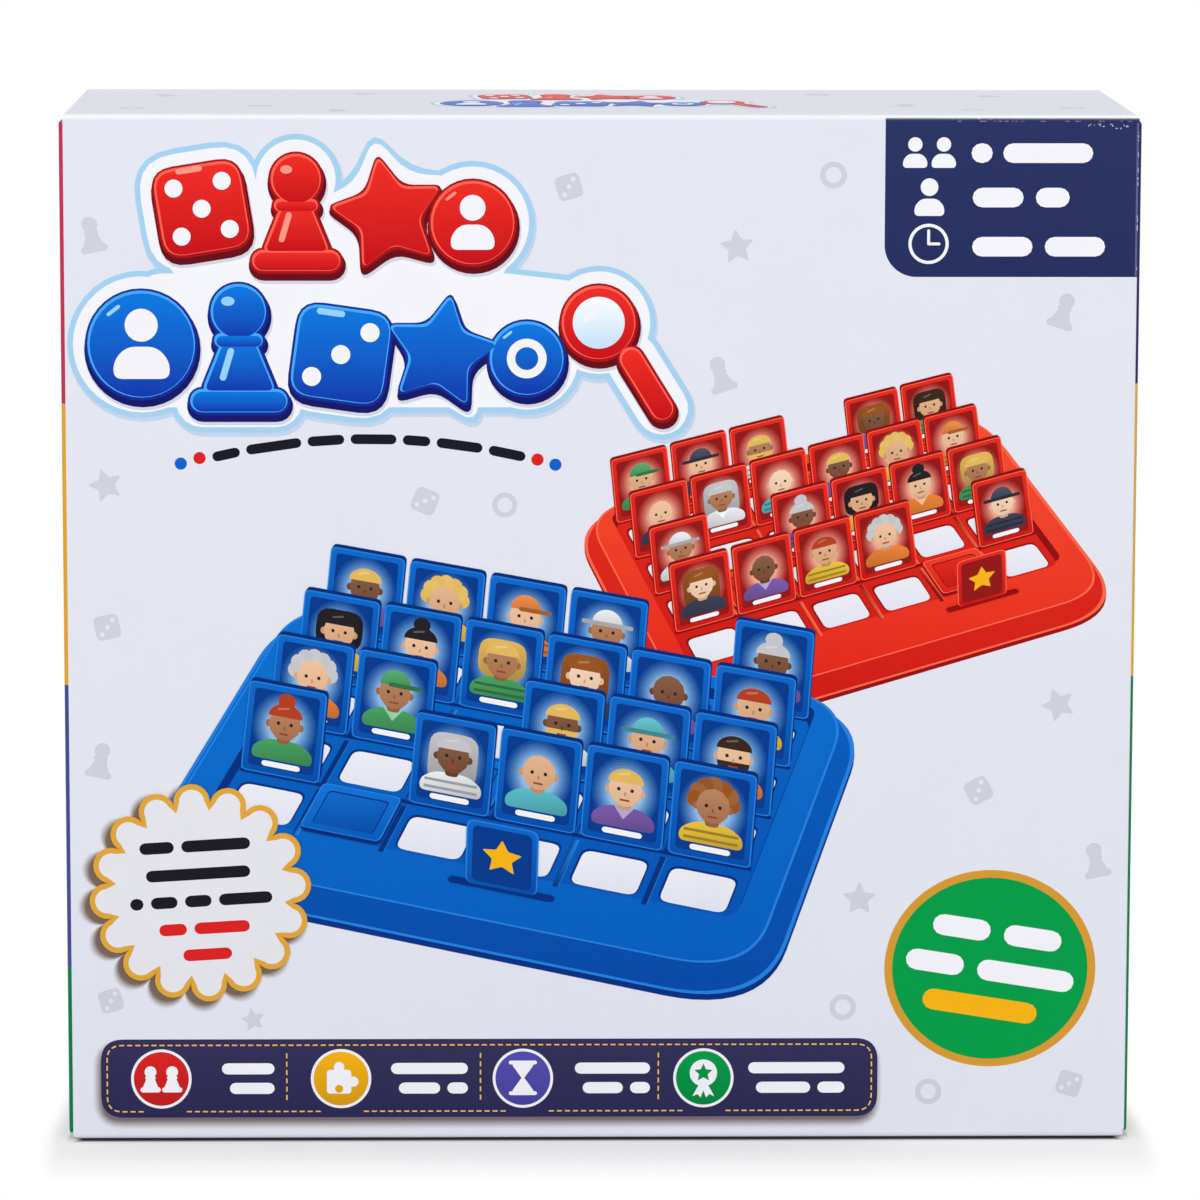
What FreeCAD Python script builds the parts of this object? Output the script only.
import FreeCAD, Part
import math
import os
import re
import Sketcher
from FreeCAD import Vector

# Face guessing game in its carton: a tuck-top carton of thin fluted board that holds two moulded
# boards with hinged flip frames, two packs of cards and a leaflet. Millimetres, +Z up, the printed
# front towards -Y, the origin under the middle of the base. The boards stand upright, face to face,
# and one is turned end for end, so that their raised frames pass between each other.

ROWS = 4
COLUMNS = 6
PACKS = 2
CARDS_PER_PACK = ROWS * COLUMNS // PACKS

SIZES = {
    # Carton board, its folds and the play between its flaps
    "carton_wall": 1.1,
    "fold_radius": 1.5,
    "flap_gap": 0.15,
    "back_wall_drop": 0.4,
    "glue_tab_width": 18,
    "glue_tab_inset": 22,
    # Tuck and dust flaps of the top
    "tuck_length": 13,
    "tuck_back_gap": 1.7,
    "tuck_side_clear": 2.5,
    "tuck_corner_radius": 10,
    "dust_length": 62,
    "dust_slant": 44,
    "dust_root_clear": 4,
    "dust_back_clear": 0.6,
    "dust_corner_radius": 6,
    "seal_flap_clear": 0.6,
    # Room round the boards
    "side_clear": 2.9,
    "tuck_clear": 5.6,
    "swing_room": 14.1,
    "slip_gap": 0.2,
    # Flip frame and the portrait card in it
    "frame_width": 33,
    "frame_length": 41,
    "frame_thick": 2.4,
    "frame_corner_radius": 3,
    "frame_rim": 2,
    "card_recess": 1.2,
    "card_root": 5,
    "card_thick": 0.5,
    "card_clear": 0.2,
    "card_corner_radius": 1.5,
    "clip_length": 5,
    "clip_reach": 1.5,
    "clip_thick": 0.5,
    # Frame hinge: pins on the frame, ears and a stop rail on the board
    "hinge_pin_radius": 0.9,
    "hinge_pin_reach": 0.9,
    "hinge_clear": 0.08,
    "hinge_lift": 2.2,
    "hinge_inset": 2.6,
    "ear_width": 2.4,
    "ear_radius": 2.2,
    "stop_gap": 1.5,
    "stop_rise": 1.6,
    "frame_side_gap": 0.3,
    "row_gap": 4.5,
    # Moulded board
    "board_height": 20,
    "front_lip": 9,
    "deck_drop": 4,
    "deck_thick": 2,
    "board_skirt": 2,
    "board_corner_radius": 18,
    "apron": 44,
    "apron_land": 4,
    "back_margin": 12,
    "side_margin": 23,
    "recess_margin": 2,
    "window_width": 24,
    "window_length": 26,
    "window_corner_radius": 3,
    "slot_length": 60,
    "slot_width": 2.4,
    # Loose cards and leaflet
    "chosen_card_width": 45,
    "chosen_card_depth": 30,
    "chosen_card_thick": 0.5,
    "pack_spacing": 80,
    "leaflet_width": 148,
    "leaflet_height": 210,
    "leaflet_thick": 0.8,
    "leaf_gap": 0.1,
    # How far every cut runs past what it cuts
    "cut_overrun": 5,
}

# Sizes that follow from the driving ones, in the order in which they build on each other
LAYOUT = {
    "column_pitch": "frame_width + ear_width + 2 * frame_side_gap",
    "row_pitch": "frame_length + row_gap",
    "field_width": f"{COLUMNS} * column_pitch",
    "field_length": f"{ROWS} * row_pitch",
    "board_width": "field_width + 2 * side_margin",
    "board_depth": "apron + field_length + back_margin",
    "slope_run": "apron - apron_land",
    "deck_top": "board_height - deck_drop",
    "hinge_height": "deck_top + hinge_lift",
    "first_hinge": "apron + row_pitch - hinge_inset",
    "frame_half": "frame_thick / 2",
    "frame_reach": "frame_length + hinge_height - board_height",
    "pocket_half": "frame_width / 2 - frame_rim",
    "pocket_floor": "card_recess - frame_half",
    "front_pack": "leaflet_thick + 2 * slip_gap",
    "back_pack": "carton_wall + slip_gap",
    "floor_top": "3 * carton_wall",
    "carton_width": "board_width + 2 * side_clear + 2 * carton_wall",
    "carton_depth": "2 * carton_wall + front_pack + 2 * board_height + frame_reach + swing_room + back_pack",
    "carton_height": "floor_top + board_depth + tuck_clear + tuck_length + carton_wall",
    "half_width": "carton_width / 2",
    "half_depth": "carton_depth / 2",
    "fold_mid": "fold_radius * (1 - sqrt(1 / 2))",
    "side_top": "carton_height - carton_wall - flap_gap",
    "lid_back": "half_depth - carton_wall - tuck_back_gap",
    "tuck_tip": "carton_height - carton_wall - tuck_length",
    "dust_front": "dust_root_clear + carton_wall - half_depth",
    "dust_back": "lid_back - carton_wall - dust_back_clear",
    "blue_seat": "front_pack + carton_wall - half_depth",
    "red_seat": "half_depth - carton_wall - back_pack",
}

doc = FreeCAD.newDocument("face_guessing_game")
sheet = doc.addObject("Spreadsheet::Sheet", "Sizes")
pieces = []


def fill_sheet():
    for row, (name, size) in enumerate(SIZES.items(), start=1):
        sheet.set(f"A{row}", name)
        sheet.set(f"B{row}", str(size))
        sheet.setAlias(f"B{row}", name)
    doc.recompute()
    for row, (name, formula) in enumerate(LAYOUT.items(), start=1):
        sheet.set(f"D{row}", name)
        sheet.set(f"E{row}", "=" + formula)
        sheet.setAlias(f"E{row}", name)
        doc.recompute()


def linked(text):
    # Points each size named in an expression at its cell
    def cell(word):
        name = word.group()
        return f"Sizes.{name}" if name in SIZES or name in LAYOUT else name
    return re.sub(r"[a-z_]+", cell, text)


def amount(text):
    return float(sheet.evalExpression(linked(text)))


def bind(item, field, text):
    item.setExpression(field, linked(text))


def pin(sketch, edge, end, x, y):
    # Ties one point of a sketch to its place; a place of 0 lies on the sketch's axis
    for kind, place, axis in (("DistanceX", x, -2), ("DistanceY", y, -1)):
        if place == "0":
            sketch.addConstraint(Sketcher.Constraint("PointOnObject", edge, end, axis))
        elif place:
            rule = Sketcher.Constraint(kind, -1, 1, edge, end, amount(place))
            bind(sketch, f"Constraints[{sketch.addConstraint(rule)}]", place)


def draw_loop(sketch, corners):
    # A corner is (x, y); with a centre (x, y, cx, cy) the edge that leaves it is an arc
    spots = [Vector(amount(corner[0]), amount(corner[1]), 0) for corner in corners]
    edges = []
    for corner, start, end in zip(corners, spots, spots[1:] + spots[:1]):
        if len(corner) == 2:
            edges.append((sketch.addGeometry(Part.LineSegment(start, end)), 1, 2))
            continue
        centre = Vector(amount(corner[2]), amount(corner[3]), 0)
        first, last = start - centre, end - centre
        circle = Part.Circle(centre, Vector(0, 0, 1), first.Length)
        angles = [math.atan2(first.y, first.x), math.atan2(last.y, last.x)]
        if first.cross(last).z > 0:
            edges.append((sketch.addGeometry(Part.ArcOfCircle(circle, *angles)), 1, 2))
        else:
            edges.append((sketch.addGeometry(Part.ArcOfCircle(circle, *reversed(angles))), 2, 1))
    for (edge, _, end), (follower, start, _) in zip(edges, edges[1:] + edges[:1]):
        sketch.addConstraint(Sketcher.Constraint("Coincident", edge, end, follower, start))
    for (edge, start, _), corner in zip(edges, corners):
        pin(sketch, edge, start, corner[0], corner[1])
        if len(corner) == 4:
            pin(sketch, edge, 3, corner[2], None)


def draw_circle(sketch, x, y, radius):
    spot = Vector(amount(x), amount(y), 0)
    edge = sketch.addGeometry(Part.Circle(spot, Vector(0, 0, 1), amount(radius)))
    pin(sketch, edge, 3, x, y)
    rule = sketch.addConstraint(Sketcher.Constraint("Radius", edge, amount(radius)))
    bind(sketch, f"Constraints[{rule}]", radius)


def rectangle(left, right, low, high):
    return [(left, low), (right, low), (right, high), (left, high)]


def rounded(left, right, low, high, radius):
    west, east = f"{left} + {radius}", f"{right} - {radius}"
    south, north = f"{low} + {radius}", f"{high} - {radius}"
    return [
        (west, low), (east, low, east, south),
        (right, south), (right, north, east, north),
        (east, high), (west, high, west, north),
        (left, north), (left, south, west, south),
    ]


def origin_of(body, role):
    return next(item for item in body.Origin.OriginFeatures if item.Role == role)


def sketch_on(body, role, name, loops=(), lift=None):
    sketch = body.newObject("Sketcher::SketchObject", name)
    sketch.AttachmentSupport = (origin_of(body, role), [""])
    sketch.MapMode = "FlatFace"
    if lift:
        bind(sketch, "AttachmentOffset.Base.z", lift)
    for loop in loops:
        draw_loop(sketch, loop)
    return sketch


def feature(body, kind, sketch, length, both=False, flip=False):
    made = body.newObject(f"PartDesign::{kind}", f"{sketch.Name}_{kind}")
    made.Profile = sketch
    made.SideType = "Symmetric" if both else "One side"
    made.Reversed = flip
    bind(made, "Length", length)
    doc.recompute()
    return made


def grid(body, original, across=None, along=None):
    # Repeats a feature across the columns, along the rows, or both
    pattern = body.newObject("PartDesign::LinearPattern", f"{original.Name}_grid")
    pattern.Originals = [original]
    steps = [step for step in (across, along) if step]
    fields = (("Direction", "Length", "Occurrences"), ("Direction2", "Length2", "Occurrences2"))
    for (role, run, count), (direction, length, occurrences) in zip(steps, fields):
        setattr(pattern, direction, (origin_of(body, role), [""]))
        setattr(pattern, occurrences, count)
        bind(pattern, length, run)
    body.Tip = pattern
    doc.recompute()


def round_edges(body, base, radius, chosen):
    names = [f"Edge{n}" for n, edge in enumerate(base.Shape.Edges, start=1) if chosen(edge)]
    fillet = body.newObject("PartDesign::Fillet", f"{base.Name}_round")
    fillet.Base = (base, names)
    bind(fillet, "Radius", radius)
    doc.recompute()


def runs_along(edge, axis):
    ends = [vertex.Point for vertex in edge.Vertexes]
    return len(ends) == 2 and abs((ends[1] - ends[0]).normalize().dot(axis)) > math.cos(math.radians(1))


def near(size, text):
    return math.isclose(size, amount(text), abs_tol=amount("carton_wall") / 100)


def new_body(name):
    return doc.addObject("PartDesign::Body", name)


def keep(name, links, turn=None, places=None):
    # A named sub-part made of one or more solids, turned and set in its place
    piece = doc.addObject("Part::Compound", name)
    piece.Label = name
    piece.Links = links
    if turn:
        piece.Placement = FreeCAD.Placement(Vector(), turn)
    for axis, place in zip("xyz", places or ()):
        bind(piece, f"Placement.Base.{axis}", place)
    pieces.append(piece)


class Fold:
    """One fold of the carton in section: the wall's outer face, the flap's outer face, and which way is in."""

    def __init__(self, outer, inward, level, down):
        self.outer = outer
        self.level = level
        self.inward = inward
        self.down = down
        self.middle = self.point("fold_mid", "fold_mid")
        self.inner = self.point("carton_wall", "carton_wall")
        self.centre = self.point("fold_radius", "fold_radius")
        self.wall_start = (outer, self.centre[1])
        self.flap_start = (self.centre[0], level)

    def point(self, across, along):
        return (f"{self.outer} {self.inward} {across}", f"{self.level} {self.down} {along}")

    def wall_cut(self):
        # What comes off the wall: the flap's half of the mitred fold and the corner outside its radius
        back = {"+": "-", "-": "+"}
        past = f"{self.outer} {back[self.inward]} cut_overrun"
        over = f"{self.level} {back[self.down]} cut_overrun"
        return [
            self.middle, self.inner, (self.inner[0], over), (past, over),
            (past, self.centre[1]), self.wall_start + self.centre,
        ]

    def flap(self, end, thick_level):
        return [
            self.middle + self.centre, self.flap_start, (end, self.level),
            (end, thick_level), self.inner,
        ]


TOP_FRONT = Fold("-half_depth", "+", "carton_height", "-")
TOP_BACK = Fold("lid_back", "-", "carton_height", "-")
BASE_FRONT = Fold("-half_depth", "+", "0", "+")
BASE_BACK = Fold("half_depth", "-", "2 * carton_wall", "+")
TOP_LEFT = Fold("-half_width", "+", "side_top", "-")
TOP_RIGHT = Fold("half_width", "-", "side_top", "-")
BASE_LEFT = Fold("-half_width", "+", "carton_wall", "+")
BASE_RIGHT = Fold("half_width", "-", "carton_wall", "+")


def make_sleeve():
    body = new_body("sleeve")
    outer = rounded("-half_width", "half_width", "-half_depth", "half_depth", "fold_radius")
    inner = rectangle(
        "carton_wall - half_width", "half_width - carton_wall",
        "carton_wall - half_depth", "half_depth - carton_wall")
    feature(body, "Pad", sketch_on(body, "XY_Plane", "wall_ring", [outer, inner]), "carton_height")
    back_edge = rectangle(
        "half_depth - carton_wall", "half_depth + cut_overrun",
        "carton_height - back_wall_drop", "carton_height + cut_overrun")
    ends = [TOP_FRONT.wall_cut(), BASE_FRONT.wall_cut(), BASE_BACK.wall_cut(), back_edge]
    feature(body, "Pocket", sketch_on(body, "YZ_Plane", "front_back_ends", ends),
            "carton_width + 2 * cut_overrun", both=True)
    ends = [fold.wall_cut() for fold in (TOP_LEFT, TOP_RIGHT, BASE_LEFT, BASE_RIGHT)]
    feature(body, "Pocket", sketch_on(body, "XZ_Plane", "side_ends", ends),
            "carton_depth + 2 * cut_overrun", both=True)
    tab = rectangle(
        "carton_wall - half_width", "carton_wall - half_width + glue_tab_width",
        "half_depth - 2 * carton_wall", "half_depth - carton_wall")
    feature(body, "Pad", sketch_on(body, "XY_Plane", "glue_tab", [tab], lift="glue_tab_inset"),
            "carton_height - 2 * glue_tab_inset")
    keep("carton_sleeve", [body])


def make_lid():
    body = new_body("lid")
    section = [
        TOP_FRONT.middle + TOP_FRONT.centre, TOP_FRONT.flap_start,
        TOP_BACK.flap_start + TOP_BACK.centre, TOP_BACK.middle,
        TOP_BACK.inner, TOP_FRONT.inner,
    ]
    feature(body, "Pad", sketch_on(body, "YZ_Plane", "lid_section", [section]),
            "carton_width - 2 * fold_radius", both=True)
    keep("top_panel", [body])


def make_tuck():
    body = new_body("tuck")
    section = [
        TOP_BACK.middle + TOP_BACK.centre, TOP_BACK.wall_start, ("lid_back", "tuck_tip"),
        ("lid_back - carton_wall", "tuck_tip"), TOP_BACK.inner,
    ]
    pad = feature(body, "Pad", sketch_on(body, "YZ_Plane", "tuck_section", [section]),
                  "carton_width - 2 * carton_wall - 2 * tuck_side_clear", both=True)
    round_edges(body, pad, "tuck_corner_radius", lambda edge: runs_along(edge, Vector(0, 1, 0))
                and near(edge.CenterOfMass.z, "tuck_tip"))
    keep("tuck_flap", [body])


def make_dust_flap(name, fold):
    body = new_body(f"{name}_body")
    end = f"{fold.outer} {fold.inward} dust_length"
    section = fold.flap(end, "side_top - carton_wall")
    feature(body, "Pad", sketch_on(body, "XZ_Plane", f"{name}_section", [section], lift="-dust_back"),
            "dust_back - dust_front")
    past = f"{end} {fold.inward} cut_overrun"
    slant = [
        (fold.centre[0], "dust_front"), (end, "dust_front + dust_slant"), (past, "dust_front + dust_slant"),
        (past, "dust_front - cut_overrun"), (fold.centre[0], "dust_front - cut_overrun"),
    ]
    cut = feature(body, "Pocket", sketch_on(body, "XY_Plane", f"{name}_slant", [slant]),
                  "2 * carton_height", both=True)
    round_edges(body, cut, "dust_corner_radius", lambda edge: runs_along(edge, Vector(0, 0, 1))
                and near(edge.CenterOfMass.x, end))
    keep(name, [body])


def make_base():
    outer = new_body("base_outer")
    section = BASE_FRONT.flap("half_depth - seal_flap_clear", "carton_wall")
    feature(outer, "Pad", sketch_on(outer, "YZ_Plane", "base_outer_section", [section]),
            "carton_width - 2 * fold_radius", both=True)
    keep("bottom_outer_flap", [outer])
    inner = new_body("base_inner")
    section = BASE_BACK.flap("carton_wall + seal_flap_clear - half_depth", "floor_top")
    feature(inner, "Pad", sketch_on(inner, "YZ_Plane", "base_inner_section", [section]),
            "carton_width - 2 * carton_wall - 2 * seal_flap_clear", both=True)
    keep("bottom_inner_flap", [inner])
    sides = []
    for side, fold in (("left", BASE_LEFT), ("right", BASE_RIGHT)):
        body = new_body(f"base_dust_{side}")
        section = fold.flap(f"{fold.outer} {fold.inward} dust_length", "2 * carton_wall")
        feature(body, "Pad", sketch_on(body, "XZ_Plane", f"base_dust_{side}_section", [section]),
                "carton_depth - 2 * carton_wall - 2 * seal_flap_clear", both=True)
        sides.append(body)
    keep("bottom_dust_flaps", sides)


def make_board():
    # The moulded board lies on the table here: x across, y from the player's edge, z up
    body = new_body("board")
    outline = rounded("-board_width / 2", "board_width / 2", "0", "board_depth", "board_corner_radius")
    feature(body, "Pad", sketch_on(body, "XY_Plane", "board_outline", [outline]), "board_height")
    slope = [
        ("0", "front_lip"), ("slope_run", "board_height"), ("slope_run", "board_height + cut_overrun"),
        ("-cut_overrun", "board_height + cut_overrun"), ("-cut_overrun", "front_lip"),
    ]
    feature(body, "Pocket", sketch_on(body, "YZ_Plane", "apron_slope", [slope]),
            "board_width + 2 * cut_overrun", both=True)
    under = rounded(
        "board_skirt - board_width / 2", "board_width / 2 - board_skirt", "slope_run",
        "board_depth - board_skirt", "(board_corner_radius - board_skirt)")
    feature(body, "Pocket", sketch_on(body, "XY_Plane", "deck_underside", [under]),
            "deck_top - deck_thick", flip=True)
    under = [
        ("board_skirt", "-cut_overrun"), ("slope_run", "-cut_overrun"),
        ("slope_run", "board_height - deck_thick"), ("board_skirt", "front_lip - deck_thick"),
    ]
    feature(body, "Pocket", sketch_on(body, "YZ_Plane", "apron_underside", [under]),
            "board_width - 2 * board_corner_radius", both=True)
    recess = rectangle(
        "-field_width / 2 - recess_margin", "field_width / 2 + recess_margin",
        "apron", "apron + field_length")
    feature(body, "Pocket", sketch_on(body, "XY_Plane", "frame_recess", [recess], lift="board_height"),
            "deck_drop")
    slot = rectangle(
        "-slot_length / 2", "slot_length / 2",
        "slope_run / 2 - slot_width / 2", "slope_run / 2 + slot_width / 2")
    feature(body, "Pocket", sketch_on(body, "XY_Plane", "card_slot", [slot]),
            "2 * board_height + 2 * cut_overrun", both=True)
    middle_x = "column_pitch / 2 - field_width / 2"
    middle_y = "first_hinge - frame_length / 2"
    window = rounded(
        f"{middle_x} - window_width / 2", f"{middle_x} + window_width / 2",
        f"{middle_y} - window_length / 2", f"{middle_y} + window_length / 2", "window_corner_radius")
    rows = ("Y_Axis", "field_length - row_pitch", ROWS)
    cut = feature(body, "Pocket", sketch_on(body, "XY_Plane", "window", [window]),
                  "2 * board_height + 2 * cut_overrun", both=True)
    grid(body, cut, across=("X_Axis", "field_width - column_pitch", COLUMNS), along=rows)
    front, back, crown = "first_hinge - ear_radius", "first_hinge + ear_radius", "hinge_height + ear_radius"
    ear = [
        (front, "deck_top"), (back, "deck_top"), (back, "hinge_height", "first_hinge", "hinge_height"),
        ("first_hinge", crown, "first_hinge", "hinge_height"), (front, "hinge_height"),
    ]
    sketch = sketch_on(body, "YZ_Plane", "hinge_ear", [ear], lift="-field_width / 2")
    draw_circle(sketch, "first_hinge", "hinge_height", "hinge_pin_radius + hinge_clear")
    pad = feature(body, "Pad", sketch, "ear_width", both=True)
    grid(body, pad, across=("X_Axis", "field_width", COLUMNS + 1), along=rows)
    rail = rectangle(
        "first_hinge + stop_gap", "first_hinge + hinge_inset", "deck_top", "hinge_height + stop_rise")
    pad = feature(body, "Pad", sketch_on(body, "YZ_Plane", "stop_rail", [rail]), "field_width", both=True)
    grid(body, pad, along=rows)
    return body


def make_frame():
    # A flip frame lying closed: its hinge axis is the x axis, and its card faces down
    body = new_body("frame")
    section = [
        ("-frame_length", "-frame_half"), ("0", "-frame_half", "0", "0"), ("frame_half", "0", "0", "0"),
        ("0", "frame_half"), ("-frame_length", "frame_half"),
    ]
    pad = feature(body, "Pad", sketch_on(body, "YZ_Plane", "frame_section", [section]), "frame_width", both=True)
    round_edges(body, pad, "frame_corner_radius", lambda edge: runs_along(edge, Vector(0, 0, 1))
                and near(edge.CenterOfMass.y, "-frame_length"))
    sketch = sketch_on(body, "YZ_Plane", "hinge_pins")
    draw_circle(sketch, "0", "0", "hinge_pin_radius")
    feature(body, "Pad", sketch, "frame_width + 2 * frame_side_gap + 2 * hinge_pin_reach", both=True)
    pocket = rectangle("-pocket_half", "pocket_half", "frame_rim - frame_length", "-card_root")
    feature(body, "Pocket", sketch_on(body, "XY_Plane", "card_pocket", [pocket], lift="-frame_half"),
            "card_recess", flip=True)
    middle_y = "(frame_rim - frame_length - card_root) / 2"
    low, high = f"{middle_y} - clip_length / 2", f"{middle_y} + clip_length / 2"
    clips = [
        rectangle("-pocket_half", "clip_reach - pocket_half", low, high),
        rectangle("pocket_half - clip_reach", "pocket_half", low, high),
    ]
    feature(body, "Pad", sketch_on(body, "XY_Plane", "card_clips", clips, lift="-frame_half"), "clip_thick")
    return body


def make_portrait_card():
    body = new_body("portrait_card")
    outline = rounded(
        "card_clear - pocket_half", "pocket_half - card_clear",
        "frame_rim - frame_length + card_clear", "-card_root - card_clear", "card_corner_radius")
    feature(body, "Pad", sketch_on(body, "XY_Plane", "card_outline", [outline], lift="pocket_floor - card_thick"),
            "card_thick")
    return body


def set_boards(board, frame, card):
    # Blue stands on its player's edge behind the front wall; red is turned end for end at the back wall
    blue_turn = FreeCAD.Rotation(Vector(-1, 0, 0), Vector(0, 0, 1), Vector(0, 1, 0), "ZXY")
    red_turn = FreeCAD.Rotation(Vector(-1, 0, 0), Vector(0, 0, -1), Vector(0, -1, 0), "ZXY")
    stands = {
        "blue": (blue_turn, "blue_seat", "floor_top", "+"),
        "red": (red_turn, "red_seat", "floor_top + board_depth", "-"),
    }
    for colour, (turn, seat, foot, sign) in stands.items():
        keep(f"{colour}_board", [board], turn, ("0", seat, foot))
        for row in range(ROWS):
            for column in range(COLUMNS):
                keep(f"{colour}_frame_{row + 1}_{column + 1}", [frame, card], turn, (
                    f"field_width / 2 - {2 * column + 1} * column_pitch / 2",
                    f"{seat} {sign} hinge_height",
                    f"{foot} {sign} (first_hinge + {row} * row_pitch)"))


def make_chosen_cards():
    cards = []
    for pack in range(PACKS):
        for layer in range(CARDS_PER_PACK):
            card = doc.addObject("Part::Box", f"chosen_card_{pack + 1}_{layer + 1}")
            bind(card, "Length", "chosen_card_width")
            bind(card, "Width", "chosen_card_depth")
            bind(card, "Height", "chosen_card_thick")
            bind(card, "Placement.Base.x",
                 f"{pack} * pack_spacing - {PACKS - 1} * pack_spacing / 2 - chosen_card_width / 2")
            bind(card, "Placement.Base.y", "-chosen_card_depth / 2")
            bind(card, "Placement.Base.z", f"floor_top + {layer} * chosen_card_thick")
            cards.append(card)
    keep("chosen_cards", cards)


def make_leaflet():
    # One sheet folded once, its round fold on the left and its two leaves a hair apart
    body = new_body("leaflet")
    front = "carton_wall + slip_gap - half_depth"
    radius = "leaflet_thick / 2"
    middle, back = f"{front} + {radius}", f"{front} + leaflet_thick"
    right, fold = "leaflet_width / 2", f"{radius} - leaflet_width / 2"
    leaves = [
        (right, front), (right, f"{middle} - leaf_gap / 2"), (fold, f"{middle} - leaf_gap / 2"),
        (fold, f"{middle} + leaf_gap / 2"), (right, f"{middle} + leaf_gap / 2"), (right, back),
        (fold, back, fold, middle), ("-leaflet_width / 2", middle, fold, middle), (fold, front),
    ]
    feature(body, "Pad", sketch_on(body, "XY_Plane", "leaves", [leaves], lift="floor_top"), "leaflet_height")
    keep("rules_leaflet", [body])


def write_parts():
    doc.recompute()
    failed = [item.Label for item in doc.Objects if {"Invalid", "Error"} & set(item.State)]
    failed += [piece.Label for piece in pieces if piece.Shape.isNull() or not piece.Shape.isValid()]
    if failed:
        raise RuntimeError("failed: " + ", ".join(failed))
    os.makedirs("parts", exist_ok=True)
    for piece in pieces:
        piece.Shape.exportStep(os.path.join("parts", piece.Label + ".step"))


fill_sheet()
make_sleeve()
make_lid()
make_tuck()
make_dust_flap("dust_flap_left", TOP_LEFT)
make_dust_flap("dust_flap_right", TOP_RIGHT)
make_base()
set_boards(make_board(), make_frame(), make_portrait_card())
make_chosen_cards()
make_leaflet()
write_parts()
